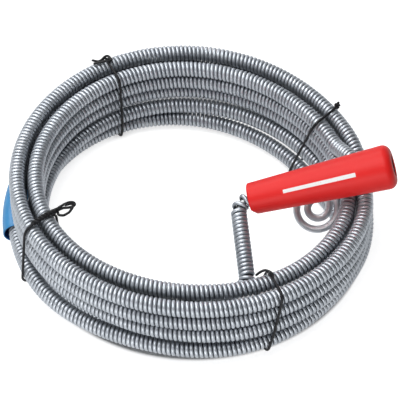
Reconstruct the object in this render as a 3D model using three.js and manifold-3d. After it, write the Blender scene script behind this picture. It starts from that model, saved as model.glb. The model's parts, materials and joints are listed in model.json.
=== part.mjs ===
// Drain auger, coiled and tied for sale: a close-wound steel spring cable, a crank with a loose
// plastic grip at one end, a wire pigtail hook at the other, a guide sleeve and four wire ties.
// Millimetres, +Z up. The coil's axis is Z and the lowest wire of the ties rests on Z = 0.
import * as THREE from "three";
import Module from "manifold-3d";

const wasm = await Module();
wasm.setup();

const RAD = Math.PI / 180;
const TURN = 360;
const GAP = 0.35; // clearance between pieces that touch in use

// Spring cable.
const CABLE_R = 4.5; // 9 mm cable
const CABLE_BORE_R = 2.35;
const CABLE_SIDES = 8;
const SHORT_SPRING_SIDES = 12; // the two ends, which are short enough to be rounder
const LAYER_PITCH = 9.3; // height between stacked passes
const END_STEP = 0.8; // degrees
const PASS_STEP = 9; // degrees between cross-sections of a pass
const OUTER_COLUMN_R = 96;
const COLUMN_GAP = 11.25;
const MIDDLE_R = OUTER_COLUMN_R - COLUMN_GAP / 2;
const OUTER_SWAY = { cos1: -2.2, cos2: -0.6, sin2: -2.75, sin3: -0.9 };
const GAP_SWAY = { cos1: -0.35, sin1: 1, cos2: -1.4 };

// How far single passes stray outwards from their column: all round, or only on the far (+Y) or
// the near (-Y) side. Layers count down from 0 at the top.
const INNER_2_FAR = 1.9;
const INNER_3_OUT = -1.5;
const INNER_4_STRAY = { all: -2.5, cos1: -5.5, cos2: 1 };
const OUTER_2_NEAR = 1.8;
const OUTER_2_TURN = 140 * RAD;
const OUTER_1_NEAR = 0.6;

// The outer bottom pass, which carries the sleeve, runs on a true circle of its own.
const SLEEVE_PASS_R = 97.9;
const SLEEVE_PASS_X = -1.9;
const SLEEVE_PASS_DROP = 2;
const SLEEVE_PASS_LAYER = 3;
const SLEEVE_PASS_CALM = 0.35; // keeps the ripple off the part the sleeve slides on
const NEAR_RIPPLE = 3;
const NEAR_RIPPLE_TURN = 84 * RAD;

// Where each pass climbs or drops into the next place in the bundle, under the grip.
const SHIFT_AT = 1;
const SHIFT_HALF = 18;
const TOP_HUMP = 6.4; // the pass crossing over from the outer to the inner column
const LOW_SWING = { r: 8.5, z: -4.2 }; // the pass going round the bundle's lower corner

// Ties.
const TIE_R = 0.9;
const TIE_BORE_R = 0.6;
const TIE_CORE_R = 0.4;
const TIE_SIDES = 6;
const TIE_CORE_SIDES = 5;
const HULL_SIDES = 24; // points round each pass that a tie is pulled tight over
const TIE_STEPS = 44;
const TWIST_R = 1.15; // centre of each wire to the centre of a twisted pair
const TWIST_STEPS = 8; // for each twist
const TIE_GAP = 0.6; // between a tie and the passes it holds
const REST_Z = 2 * TIE_R + TIE_GAP; // lowest cable surface above the table
const BOTTOM_LAYER = 4;
const TOP_Z = REST_Z + CABLE_R + BOTTOM_LAYER * LAYER_PITCH; // centre-line of the top passes

// Hook end of the cable.
const HOOK_TAIL_FROM = 2; // degrees round the coil
const HOOK_TAIL_TO = 20;
const HOOK_SPLIT = 0.8; // degrees of clearance where the tail flexes
const HOOK_TAIL_IN = 5; // how far the free end springs inwards
const HOOK_TAIL_UP = 3.8;
const HOOK_TAIL_RISE = 19; // degrees over which it rises
const HOOK_TAIL_STEP = 3;
const HOOK_TAIL_MARGIN = { from: 2, to: 6 }; // degrees the inward spring runs past the tail
const HOOK_WIRE_R = 2.05;
const HOOK_SHANK = 11; // degrees of wire held inside the cable
const HOOK_SHANK_OUT = 1; // degrees it runs straight on out of the cable
const HOOK_SHANK_STEP = 1.5;
const HOOK_SPIRAL_STEPS = 42;
const HOOK_STEPS = 64;
const HOOK_SIDES = 8;
const HOOK_CENTRE = [66.8, -13, TOP_Z - 13];
const HOOK_TILT = 46.7 * RAD; // slope of the hook's flat spiral
const HOOK_SPIRAL_FROM = 22 * RAD;
const HOOK_SPIRAL_TO = -596 * RAD;
const HOOK_RADII = [11.8, 11.5, 11.3, 9.8, 7.6, 5.3, 4.6, 5.2]; // one for each quarter turn

// Crank.
const FEED_FROM = 262; // degrees, where the last pass leaves the bundle
const FEED_TO = 275;
const CRANK_AXIS_TURN = 21.3 * RAD; // heading of the cable where the crank turns in it
const CRANK_FOOT = [28.3, -72.5, TOP_Z - LAYER_PITCH];
const ELBOW_OUT = 7; // from the grip's front end to the crank's corner
const CRANK_STUB = 8.5;
const FOOT_BEND_R = 8;
const ELBOW_BEND_R = 7.2;
const BEND_STEPS = 7;
const SPRING_SHORT = 2; // from the cable's end to the floor of the grip's recess
const ROD_R = 1.95;
const ROD_INSET = 1; // how far the rod starts inside the crank's end of the cable
const ROD_SIDES = 12;
const ROD_HEAD_OUT = 2.2; // how far the core rod stands out of the push nut
const PUSH_NUT_R = 4.8;
const PUSH_NUT_T = 1.2;
const PUSH_NUT_SIDES = 24;

// Grip, a taper along its own axis.
const GRIP_FRONT = [29.8, -22.4, TOP_Z + 4.9];
const GRIP_REAR = [106.1, -19.3, TOP_Z + 28];
const GRIP_FRONT_R = 8.7;
const GRIP_REAR_R = 12;
const GRIP_BORE_R = 5.1;
const GRIP_RECESS_R = 5.9;
const GRIP_RECESS = 7;
const GRIP_HOLE_R = 2.9; // the hole the rod passes through
const GRIP_HOLE_WALL = 1.6;
const GRIP_FRONT_ROUND = 1.2;
const GRIP_REAR_ROUND = 4.5;
const GRIP_FRONT_ROUND_STEPS = 4;
const GRIP_REAR_ROUND_STEPS = 8;
const GRIP_SIDES = 28;
const GRIP_BEVEL = 2.6; // the bevel under the front edge

// Guide sleeve.
const SLEEVE_R = 6.5;
const SLEEVE_BORE_R = 5.95;
const SLEEVE_HANG = 1.05; // how far the loose sleeve sits outwards of the cable's centre
const SLEEVE_FROM = 154;
const SLEEVE_TO = 189;
const SLEEVE_STEPS = 12;
const SLEEVE_SIDES = 16;

const SPRING_STEEL = { color: 0xa6a9ab, metalness: 1, roughness: 0.38 };
const ROD_STEEL = { color: 0x9a9d9f, metalness: 1, roughness: 0.45 };
const HOOK_STEEL = { color: 0xb4b8bb, metalness: 1, roughness: 0.42 };
const NUT_STEEL = { color: 0x8d9092, metalness: 1, roughness: 0.4 };
const TIE_STEEL = { color: 0x8f9294, metalness: 1, roughness: 0.45 };
const GRIP_RED = { color: 0xd6201f, metalness: 0, roughness: 0.4 };
const SLEEVE_BLUE = { color: 0x2f86cc, metalness: 0, roughness: 0.45 };
const TIE_BLACK = { color: 0x17171a, metalness: 0, roughness: 0.5 };

const smooth = (x) => {
  const t = Math.min(1, Math.max(0, x));
  return t * t * (3 - 2 * t);
};

// ---- the cable's path round the coil ----

function outerRadius(a) {
  const s = OUTER_SWAY;
  return (
    OUTER_COLUMN_R +
    s.cos1 * Math.cos(a) +
    s.cos2 * Math.cos(2 * a) +
    s.sin2 * Math.sin(2 * a) +
    s.sin3 * Math.sin(3 * a)
  );
}

function innerRadius(a) {
  const s = GAP_SWAY;
  const gap = COLUMN_GAP + s.cos1 * Math.cos(a) + s.sin1 * Math.sin(a) + s.cos2 * Math.cos(2 * a);
  return outerRadius(a) - gap;
}

// Distance from the coil's axis to a circle of radius `r` about the sleeve pass's centre.
function sleeveCircle(a, r) {
  const across = SLEEVE_PASS_X * Math.sin(a);
  return SLEEVE_PASS_X * Math.cos(a) + Math.sqrt(r ** 2 - across ** 2);
}

function sleevePassRadius(a) {
  const near = Math.max(0, -Math.sin(a) - SLEEVE_PASS_CALM);
  return sleeveCircle(a, SLEEVE_PASS_R) + NEAR_RIPPLE * near * Math.cos(4 * a - NEAR_RIPPLE_TURN);
}

const inner = (layer, off) => (a) => ({
  r: innerRadius(a) + off(a),
  z: TOP_Z - layer * LAYER_PITCH,
});
const outer = (layer, off) => (a) => ({
  r: outerRadius(a) + off(a),
  z: TOP_Z - layer * LAYER_PITCH,
});
const none = () => 0;
const far = (a) => Math.max(0, Math.sin(a));
const near = (a) => Math.max(0, -Math.sin(a));

function bottomStray(a) {
  return INNER_4_STRAY.all + INNER_4_STRAY.cos1 * Math.cos(a) + INNER_4_STRAY.cos2 * Math.cos(2 * a);
}

// The places in the bundle's cross-section, in the order the cable visits them.
const SLEEVE_PASS_Z = TOP_Z - SLEEVE_PASS_LAYER * LAYER_PITCH - SLEEVE_PASS_DROP;
const PLACES = [
  inner(2, (a) => INNER_2_FAR * far(a)),
  inner(3, () => INNER_3_OUT),
  inner(BOTTOM_LAYER, bottomStray),
  (a) => ({ r: sleevePassRadius(a), z: SLEEVE_PASS_Z }),
  outer(2, (a) => OUTER_2_NEAR * near(a) * Math.sin(2 * a - OUTER_2_TURN)),
  outer(1, (a) => OUTER_1_NEAR * near(a)),
  outer(0, none),
  inner(0, none),
  inner(1, none),
];
const LOW_CORNER = 2; // the move after this place goes round the lower corner
const TOP_CORNER = 6; // the move after this place goes over the top
const LAST_PASS = PLACES.length - 1;

// The straight line the last pass leaves on, which is also the axis the crank turns about.
function feedLineRadius(a) {
  const [x, y] = CRANK_FOOT;
  const offset = x * Math.sin(CRANK_AXIS_TURN) - y * Math.cos(CRANK_AXIS_TURN);
  return offset / Math.cos(a - CRANK_AXIS_TURN + Math.PI / 2);
}

// The cable's centre-line at `deg` degrees along it, from 0 at the hook end.
function cableAt(deg) {
  const a = deg * RAD;
  const shift = Math.round((deg - SHIFT_AT) / TURN);
  const into = (deg - SHIFT_AT - shift * TURN + SHIFT_HALF) / (2 * SHIFT_HALF);
  const place = Math.min(LAST_PASS, Math.max(0, shift - 1));
  const t = shift > 0 ? smooth(into) : 0;
  const from = PLACES[place](a);
  const to = PLACES[Math.min(LAST_PASS, place + 1)](a);
  let r = from.r + (to.r - from.r) * t;
  let z = from.z + (to.z - from.z) * t;
  const hump = Math.sin(Math.PI * t);
  if (place === TOP_CORNER) z += TOP_HUMP * hump;
  if (place === LOW_CORNER) {
    r += LOW_SWING.r * hump;
    z += LOW_SWING.z * hump;
  }
  const tailSpan = HOOK_TAIL_TO + HOOK_TAIL_MARGIN.from;
  const tail = smooth((HOOK_TAIL_TO + HOOK_TAIL_MARGIN.to - deg) / tailSpan);
  r -= HOOK_TAIL_IN * tail;
  z += HOOK_TAIL_UP * smooth((HOOK_TAIL_RISE - deg) / HOOK_TAIL_RISE);
  const feed = smooth((deg - LAST_PASS * TURN - FEED_FROM) / (FEED_TO - FEED_FROM));
  if (feed > 0) r += (feedLineRadius(a) - r) * feed;
  return new THREE.Vector3(r * Math.cos(a), r * Math.sin(a), z);
}

// Points along the cable, with one close to each end so that its faces are cut square.
function cablePoints(from, to, step) {
  const count = Math.max(1, Math.round((to - from) / step));
  const stops = Array.from({ length: count + 1 }, (_, i) => from + ((to - from) * i) / count);
  stops.splice(1, 0, from + END_STEP);
  stops.splice(-1, 0, to - END_STEP);
  return stops.map(cableAt);
}

// ---- building blocks ----

// Tangents and turned-along normals of a run of points.
function framesOf(points, closed) {
  const n = points.length;
  const at = (i) => (closed ? points[(i + n) % n] : points[Math.min(n - 1, Math.max(0, i))]);
  const tangents = points.map((_, i) => at(i + 1).clone().sub(at(i - 1)).normalize());
  const normal = new THREE.Vector3(0, 0, 1);
  if (Math.abs(tangents[0].z) > 0.8) normal.set(1, 0, 0);
  return tangents.map((t) => {
    normal.addScaledVector(t, -normal.dot(t)).normalize();
    return { t, u: normal.clone(), v: new THREE.Vector3().crossVectors(t, normal) };
  });
}

// A closed surface swept along points: solid, or hollow when a bore is given.
function sweep(points, radius, sides, { bore = 0, closed = false } = {}) {
  const frames = framesOf(points, closed);
  const n = points.length;
  const position = [];
  const index = [];
  const ring = (r, i) => {
    const start = position.length / 3;
    for (let k = 0; k < sides; k++) {
      const angle = (k / sides) * 2 * Math.PI;
      const p = points[i]
        .clone()
        .addScaledVector(frames[i].u, r * Math.cos(angle))
        .addScaledVector(frames[i].v, r * Math.sin(angle));
      position.push(p.x, p.y, p.z);
    }
    return start;
  };
  const band = (a, b) => {
    for (let k = 0; k < sides; k++) {
      const m = (k + 1) % sides;
      index.push(a + k, a + m, b + m, a + k, b + m, b + k);
    }
  };
  const cap = (a, centre, flip) => {
    const c = position.length / 3;
    position.push(centre.x, centre.y, centre.z);
    for (let k = 0; k < sides; k++) {
      const m = (k + 1) % sides;
      if (flip) index.push(c, a + m, a + k);
      else index.push(c, a + k, a + m);
    }
  };
  const skin = points.map((_, i) => ring(radius, i));
  for (let i = 1; i < n; i++) band(skin[i - 1], skin[i]);
  if (closed) band(skin[n - 1], skin[0]);
  else if (bore) {
    const lining = points.map((_, i) => ring(bore, i));
    for (let i = 1; i < n; i++) band(lining[i], lining[i - 1]);
    band(lining[0], skin[0]);
    band(skin[n - 1], lining[n - 1]);
  } else {
    cap(skin[0], points[0], true);
    cap(skin[n - 1], points[n - 1], false);
  }
  return solid(position, index);
}

function solid(position, index) {
  return new wasm.Manifold(
    new wasm.Mesh({
      numProp: 3,
      vertProperties: new Float32Array(position),
      triVerts: new Uint32Array(index),
    }),
  );
}

// A run of straight lines through corners, each corner rounded by an arc.
function roundedRun(corners, bends, steps) {
  const out = [corners[0].clone()];
  for (let i = 1; i < corners.length - 1; i++) {
    const back = corners[i - 1].clone().sub(corners[i]).normalize();
    const on = corners[i + 1].clone().sub(corners[i]).normalize();
    const half = back.angleTo(on) / 2;
    const bend = bends[i - 1];
    const reach = bend / Math.tan(half);
    const centre = back.clone().add(on).normalize();
    centre.multiplyScalar(bend / Math.sin(half)).add(corners[i]);
    const first = corners[i].clone().addScaledVector(back, reach).sub(centre);
    const last = corners[i].clone().addScaledVector(on, reach).sub(centre);
    const sweepAngle = first.angleTo(last);
    const axis = new THREE.Vector3().crossVectors(first, last).normalize();
    for (let k = 0; k <= steps; k++) {
      out.push(first.clone().applyAxisAngle(axis, (sweepAngle * k) / steps).add(centre));
    }
  }
  out.push(corners[corners.length - 1].clone());
  return out;
}

// A body of revolution about +Y from a profile of [radius, height] pairs.
function turned(profile, sides) {
  const points = profile.map(([r, h]) => new THREE.Vector2(r, h));
  const g = new THREE.LatheGeometry(points, sides);
  const position = [];
  const index = [];
  const rows = profile.length;
  for (let s = 0; s < sides; s++) {
    for (let k = 0; k < rows; k++) {
      const i = s * rows + k;
      position.push(g.attributes.position.getX(i), g.attributes.position.getY(i));
      position.push(g.attributes.position.getZ(i));
    }
  }
  for (let s = 0; s < sides; s++) {
    const a = s * rows;
    const b = ((s + 1) % sides) * rows;
    for (let k = 0; k < rows; k++) {
      const m = (k + 1) % rows;
      index.push(a + k, b + k, b + m, a + k, b + m, a + m);
    }
  }
  return solid(position, index);
}

function arc(centre, radius, from, to, steps) {
  return Array.from({ length: steps + 1 }, (_, i) => {
    const a = (from + ((to - from) * i) / steps) * RAD;
    return [centre[0] + radius * Math.cos(a), centre[1] + radius * Math.sin(a)];
  });
}

function placed(shape, matrix) {
  return shape.transform(matrix.toArray());
}

function meshOf(shape) {
  const m = shape.getMesh();
  const g = new THREE.BufferGeometry();
  g.setAttribute("position", new THREE.BufferAttribute(new Float32Array(m.vertProperties), 3));
  g.setIndex(new THREE.BufferAttribute(new Uint32Array(m.triVerts), 1));
  g.computeVertexNormals();
  return g;
}

// ---- the spring cable ----

const foot = new THREE.Vector3(...CRANK_FOOT);
const heading = new THREE.Vector3(Math.cos(CRANK_AXIS_TURN), Math.sin(CRANK_AXIS_TURN), 0);
const stubStart = foot.clone().addScaledVector(heading, -CRANK_STUB - FOOT_BEND_R);
const stubRadius = Math.hypot(stubStart.x, stubStart.y);
const stubAngle = TURN + (Math.atan2(stubStart.y, stubStart.x) - GAP / stubRadius) / RAD;

const springCable = sweep(
  cablePoints(HOOK_TAIL_TO + HOOK_SPLIT, LAST_PASS * TURN + stubAngle, PASS_STEP),
  CABLE_R,
  CABLE_SIDES,
);

// ---- the hook end ----

const hookTail = sweep(
  cablePoints(HOOK_TAIL_FROM, HOOK_TAIL_TO, HOOK_TAIL_STEP),
  CABLE_R,
  SHORT_SPRING_SIDES,
  { bore: CABLE_BORE_R },
);

function hookRadius(angle) {
  const at = (HOOK_SPIRAL_FROM - angle) / (Math.PI / 2);
  const i = Math.min(HOOK_RADII.length - 2, Math.floor(at));
  const t = Math.min(1, at - i);
  return HOOK_RADII[i] + (HOOK_RADII[i + 1] - HOOK_RADII[i]) * t;
}

function hookPoints() {
  const centre = new THREE.Vector3(...HOOK_CENTRE);
  const across = new THREE.Vector3(1, 0, 0);
  const up = new THREE.Vector3(0, Math.sin(HOOK_TILT), Math.cos(HOOK_TILT));
  const through = [];
  const shankEnd = HOOK_TAIL_FROM - HOOK_SHANK_OUT;
  for (let deg = HOOK_TAIL_FROM + HOOK_SHANK; deg >= shankEnd; deg -= HOOK_SHANK_STEP) {
    through.push(cableAt(deg));
  }
  for (let i = 0; i <= HOOK_SPIRAL_STEPS; i++) {
    const done = i / HOOK_SPIRAL_STEPS;
    const angle = HOOK_SPIRAL_FROM + (HOOK_SPIRAL_TO - HOOK_SPIRAL_FROM) * done;
    const r = hookRadius(angle);
    through.push(
      centre
        .clone()
        .addScaledVector(across, r * Math.cos(angle))
        .addScaledVector(up, r * Math.sin(angle)),
    );
  }
  return new THREE.CatmullRomCurve3(through, false, "centripetal").getSpacedPoints(HOOK_STEPS);
}

const hook = sweep(hookPoints(), HOOK_WIRE_R, HOOK_SIDES);

// ---- the crank ----

const gripFront = new THREE.Vector3(...GRIP_FRONT);
const gripRear = new THREE.Vector3(...GRIP_REAR);
const gripAxis = gripRear.clone().sub(gripFront).normalize();
const elbow = gripFront.clone().addScaledVector(gripAxis, -ELBOW_OUT);
const gripLength = gripRear.distanceTo(gripFront);
const springEnd = gripRear.clone().addScaledVector(gripAxis, -GRIP_RECESS - SPRING_SHORT);
const nutAt = gripLength - GRIP_RECESS + GAP;
const rodEnd = gripFront.clone().addScaledVector(gripAxis, nutAt + PUSH_NUT_T + ROD_HEAD_OUT);

const crankSpring = sweep(
  roundedRun([stubStart, foot, elbow, springEnd], [FOOT_BEND_R, ELBOW_BEND_R], BEND_STEPS),
  CABLE_R,
  SHORT_SPRING_SIDES,
  { bore: CABLE_BORE_R },
);
const rodStart = stubStart.clone().addScaledVector(heading, ROD_INSET);
const coreRod = sweep(
  roundedRun([rodStart, foot, elbow, rodEnd], [FOOT_BEND_R, ELBOW_BEND_R], BEND_STEPS),
  ROD_R,
  ROD_SIDES,
);

// ---- the grip and its push nut ----

const toGrip = new THREE.Matrix4().compose(
  gripFront,
  new THREE.Quaternion().setFromUnitVectors(new THREE.Vector3(0, 1, 0), gripAxis),
  new THREE.Vector3(1, 1, 1),
);

function gripShape() {
  const slope = Math.atan2(GRIP_REAR_R - GRIP_FRONT_R, gripLength) / RAD;
  const front = arc(
    [GRIP_FRONT_R - GRIP_FRONT_ROUND, GRIP_FRONT_ROUND],
    GRIP_FRONT_ROUND,
    -90,
    -slope,
    GRIP_FRONT_ROUND_STEPS,
  );
  const rear = arc(
    [GRIP_REAR_R - GRIP_REAR_ROUND, gripLength - GRIP_REAR_ROUND],
    GRIP_REAR_ROUND,
    -slope,
    90,
    GRIP_REAR_ROUND_STEPS,
  );
  const floor = gripLength - GRIP_RECESS;
  const profile = [
    [GRIP_BORE_R, 0],
    ...front,
    ...rear,
    [GRIP_RECESS_R, gripLength],
    [GRIP_RECESS_R, floor],
    [GRIP_HOLE_R, floor],
    [GRIP_HOLE_R, floor - GRIP_HOLE_WALL],
    [GRIP_BORE_R, floor - GRIP_HOLE_WALL],
  ];
  const body = placed(turned(profile, GRIP_SIDES), toGrip);
  return body.trimByPlane(...bevelPlane());
}

// The plane of the bevel: it takes the lower front edge off at 45 degrees.
function bevelPlane() {
  const down = new THREE.Vector3(0, -Math.sin(HOOK_TILT), -Math.cos(HOOK_TILT));
  down.addScaledVector(gripAxis, -down.dot(gripAxis)).normalize();
  const normal = gripAxis.clone().sub(down).normalize();
  const edge = gripFront.clone().addScaledVector(down, GRIP_FRONT_R - GRIP_BEVEL);
  return [normal.toArray(), normal.dot(edge)];
}

const pushNut = placed(
  turned(
    [
      [ROD_R + GAP, nutAt],
      [PUSH_NUT_R, nutAt],
      [PUSH_NUT_R, nutAt + PUSH_NUT_T],
      [ROD_R + GAP, nutAt + PUSH_NUT_T],
    ],
    PUSH_NUT_SIDES,
  ),
  toGrip,
);

// ---- the guide sleeve ----

function sleevePoints() {
  return Array.from({ length: SLEEVE_STEPS + 1 }, (_, i) => {
    const a = (SLEEVE_FROM + ((SLEEVE_TO - SLEEVE_FROM) * i) / SLEEVE_STEPS) * RAD;
    const r = sleeveCircle(a, SLEEVE_PASS_R + SLEEVE_HANG);
    return new THREE.Vector3(r * Math.cos(a), r * Math.sin(a), SLEEVE_PASS_Z);
  });
}

const sleeve = sweep(sleevePoints(), SLEEVE_R, SLEEVE_SIDES, { bore: SLEEVE_BORE_R });

// ---- the ties ----

// The passes a tie holds, as [radius, height], each taken where the tie crosses it.
function bundleUnder({ at, lean, droop }) {
  const passes = [];
  for (let k = 0; k <= LAST_PASS; k++) {
    if (k === LAST_PASS && at > FEED_TO) continue;
    const rough = cableAt(k * TURN + at);
    const beyond = Math.hypot(rough.x, rough.y) - MIDDLE_R;
    const p = cableAt(k * TURN + at + lean * beyond + droop * (TOP_Z - rough.z));
    passes.push([Math.hypot(p.x, p.y), p.z]);
  }
  return passes;
}

// The outline of a wire pulled tight round the passes, anticlockwise with outwards to the right.
function tautLoop(how) {
  const reach = CABLE_R + TIE_GAP + TIE_R;
  const dots = [];
  for (const [r, z] of bundleUnder(how)) {
    for (let k = 0; k < HULL_SIDES; k++) {
      const a = (k / HULL_SIDES) * 2 * Math.PI;
      dots.push([r + reach * Math.cos(a), z + reach * Math.sin(a)]);
    }
  }
  dots.sort((p, q) => p[0] - q[0] || p[1] - q[1]);
  return [...halfHull(dots), ...halfHull(dots.slice().reverse())];
}

function halfHull(dots) {
  const hull = [];
  for (const p of dots) {
    while (hull.length > 1 && turnOf(hull[hull.length - 2], hull[hull.length - 1], p) <= 0) {
      hull.pop();
    }
    hull.push(p);
  }
  hull.pop();
  return hull;
}

function turnOf(a, b, c) {
  return (b[0] - a[0]) * (c[1] - a[1]) - (b[1] - a[1]) * (c[0] - a[0]);
}

// `count` points evenly spaced round a ring, the first at the ring's point nearest `first`.
function evenly(ring, count, first) {
  const distance = (p) => Math.hypot(p[0] - first[0], p[1] - first[1]);
  const start = ring.reduce((best, p, i) => (distance(p) < distance(ring[best]) ? i : best), 0);
  const from = [...ring.slice(start), ...ring.slice(0, start + 1)];
  const lengths = from.slice(1).map((p, i) => Math.hypot(p[0] - from[i][0], p[1] - from[i][1]));
  const total = lengths.reduce((sum, l) => sum + l, 0);
  const out = [];
  let i = 0;
  let passed = 0;
  for (let k = 0; k < count; k++) {
    const want = (total * k) / count;
    while (passed + lengths[i] < want) passed += lengths[i++];
    const t = (want - passed) / lengths[i];
    out.push([0, 1].map((c) => from[i][c] + (from[i + 1][c] - from[i][c]) * t));
  }
  return out;
}

// The centre-line of a tie: one end, the taut loop, and the other end. The two ends leave the
// loop at `knot` and are twisted round each other along `tail`, in steps of [out, along, up].
function tiePoints(how) {
  const { at, lean, droop, knot, tail, twists } = how;
  const toWorld = ([r, z]) => {
    const a = (at + lean * (r - MIDDLE_R) + droop * (TOP_Z - z)) * RAD;
    return new THREE.Vector3(r * Math.cos(a), r * Math.sin(a), z);
  };
  const ring = evenly(tautLoop(how), TIE_STEPS, [knot[0], TOP_Z + knot[1]]).map(toWorld);
  const out = new THREE.Vector3(Math.cos(at * RAD), Math.sin(at * RAD), 0);
  const along = new THREE.Vector3(-out.y, out.x, 0);
  const steps = tail.map(([o, l, u]) =>
    ring[0]
      .clone()
      .addScaledVector(out, o)
      .addScaledVector(along, l)
      .add(new THREE.Vector3(0, 0, u)),
  );
  const count = Math.round(TWIST_STEPS * twists);
  const line = new THREE.CatmullRomCurve3(steps, false, "centripetal").getSpacedPoints(count);
  const frames = framesOf(line, false);
  const toNext = ring[1].clone().sub(ring[ring.length - 1]);
  const first = Math.atan2(toNext.dot(frames[0].v), toNext.dot(frames[0].u));
  const end = (half) =>
    line.map((p, i) => {
      const a = first + half + (i / count) * twists * 2 * Math.PI;
      return p
        .clone()
        .addScaledVector(frames[i].u, TWIST_R * Math.cos(a))
        .addScaledVector(frames[i].v, TWIST_R * Math.sin(a));
    });
  return [...end(0).reverse(), ...ring.slice(2, -1), ...end(Math.PI)];
}

function tieCore(points) {
  return sweep(points, TIE_CORE_R, TIE_CORE_SIDES);
}

function tieCoat(points) {
  return sweep(points, TIE_R, TIE_SIDES, { bore: TIE_BORE_R });
}

const TIES = {
  left: {
    at: 204.8,
    lean: 0.17,
    droop: 0,
    knot: [84, 6],
    tail: [[-0.4, 0, 1], [-3, -0.4, 2.4], [-8, -1, 2.8], [-14, -0.6, 2.4]],
    twists: 1.6,
  },
  back_left: {
    at: 121.05,
    lean: -0.05,
    droop: 0,
    knot: [99.5, 5],
    tail: [[0.4, 0.2, 1.1], [1.4, 1.6, 2], [1.8, 4.2, 2.2], [3, 7.4, 2.2]],
    twists: 1.2,
  },
  back_right: {
    at: 31.6,
    lean: 0.22,
    droop: 0.24,
    knot: [94, 5.5],
    tail: [[0.2, 0, 1], [0.2, -0.4, 2.6], [0.6, -0.6, 3.6], [1.4, -0.8, 4.6]],
    twists: 1,
  },
  front: {
    at: 296.6,
    lean: -0.056,
    droop: -0.12,
    knot: [82, 5],
    tail: [[0, -0.6, 1], [0.2, -2.4, 2.8], [0, -4.6, 3], [0.2, -7.6, 2.8]],
    twists: 1.5,
  },
};

// ---- the assembly ----

const root = new THREE.Group();
root.name = "drain_auger";

function add(name, shape, finish) {
  const material = new THREE.MeshStandardMaterial(finish);
  material.name = name;
  const mesh = new THREE.Mesh(meshOf(shape), material);
  mesh.name = name;
  root.add(mesh);
}

add("spring_cable", springCable, SPRING_STEEL);
add("crank_spring", crankSpring, SPRING_STEEL);
add("crank_core_rod", coreRod, ROD_STEEL);
add("grip", gripShape(), GRIP_RED);
add("grip_push_nut", pushNut, NUT_STEEL);
add("hook_tail_spring", hookTail, SPRING_STEEL);
add("auger_hook", hook, HOOK_STEEL);
add("guide_sleeve", sleeve, SLEEVE_BLUE);
for (const [name, how] of Object.entries(TIES)) {
  const points = tiePoints(how);
  add(`tie_coat_${name}`, tieCoat(points), TIE_BLACK);
  add(`tie_core_${name}`, tieCore(points), TIE_STEEL);
}

export default root;
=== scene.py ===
"""Drain auger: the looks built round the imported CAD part. Lengths are millimetres until a mesh is made."""

import json
import math

import bpy
import numpy as np
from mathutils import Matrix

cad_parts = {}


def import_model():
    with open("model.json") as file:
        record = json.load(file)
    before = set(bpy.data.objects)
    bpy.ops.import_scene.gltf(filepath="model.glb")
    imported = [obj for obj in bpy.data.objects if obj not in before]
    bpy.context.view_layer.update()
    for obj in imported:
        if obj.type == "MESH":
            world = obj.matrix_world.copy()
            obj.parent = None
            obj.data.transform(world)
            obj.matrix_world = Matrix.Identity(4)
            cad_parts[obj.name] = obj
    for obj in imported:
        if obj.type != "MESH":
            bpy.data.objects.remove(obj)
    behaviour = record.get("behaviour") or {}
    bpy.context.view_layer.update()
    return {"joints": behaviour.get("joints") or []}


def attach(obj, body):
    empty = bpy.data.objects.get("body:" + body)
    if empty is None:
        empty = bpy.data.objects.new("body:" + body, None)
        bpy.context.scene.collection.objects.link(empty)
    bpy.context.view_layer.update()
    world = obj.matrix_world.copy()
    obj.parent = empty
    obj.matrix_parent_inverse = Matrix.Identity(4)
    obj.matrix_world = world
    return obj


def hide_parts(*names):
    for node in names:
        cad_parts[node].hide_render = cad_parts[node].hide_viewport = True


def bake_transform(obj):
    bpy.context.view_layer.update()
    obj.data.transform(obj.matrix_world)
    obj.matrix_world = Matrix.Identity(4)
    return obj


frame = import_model()
JOINTS = {j["name"]: j for j in frame["joints"]}
MM = 0.001

# ---------------------------------------------------------------- dimensions

# The cable, and how it strays from two plain columns of passes. The CAD part has the same values.
CABLE_R = 4.5
LAYER_PITCH = 9.3
OUTER_COLUMN_R = 96
COLUMN_GAP = 11.25
MIDDLE_R = OUTER_COLUMN_R - COLUMN_GAP / 2
OUTER_SWAY = {"cos1": -2.2, "cos2": -0.6, "sin2": -2.75, "sin3": -0.9}
GAP_SWAY = {"cos1": -0.35, "sin1": 1, "cos2": -1.4}
INNER_2_FAR = 1.9
INNER_3_OUT = -1.5
INNER_4_STRAY = {"all": -2.5, "cos1": -5.5, "cos2": 1}
OUTER_2_NEAR = 1.8
OUTER_2_TURN = math.radians(140)
OUTER_1_NEAR = 0.6
SLEEVE_PASS_R = 97.9
SLEEVE_PASS_X = -1.9
SLEEVE_PASS_LAYER = 3
SLEEVE_PASS_DROP = 2
SLEEVE_PASS_CALM = 0.35
NEAR_RIPPLE = 3
NEAR_RIPPLE_TURN = math.radians(84)
TOP_Z = 44.1
LAST_PASS = 8

# Where the cable moves on to its next place in the bundle, in degrees round the coil.
SHIFT_AT = 1
SHIFT_HALF = 18
OVER_THE_TOP = 6  # the place it leaves to cross from the outer to the inner column
TOP_HUMP = 6.4
ROUND_THE_FOOT = 2  # the place it leaves to go round the bundle's lower corner
LOW_SWING_R = 8.5
LOW_SWING_Z = -4.2

# The cable's free end, which springs inwards and up, and its last pass, which feeds the crank.
TAIL_FROM = 2
TAIL_TO = 20
TAIL_MARGIN = {"from": 2, "to": 6}
TAIL_IN = 5
TAIL_UP = 3.8
TAIL_RISE = 19
FEED_FROM = 262
FEED_TO = 275

# The wire the cable is wound from.
WIRE_R = 1.16
COIL_R = CABLE_R - WIRE_R
COIL_PITCH = 2.01 * WIRE_R
FANNED_MOST = 0.62
WIRE_SIDES = 8
STEPS_A_COIL = 16
PATH_STEP = 0.25  # degrees
PATH_SHORT = 0.2  # degrees from the path's end to where the crank's run takes over
LINE_STEP = 0.4
BEND_WINDOW = 11  # steps of the line that a coil's spacing is taken over
CUT_END_CREST = 0.6

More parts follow.
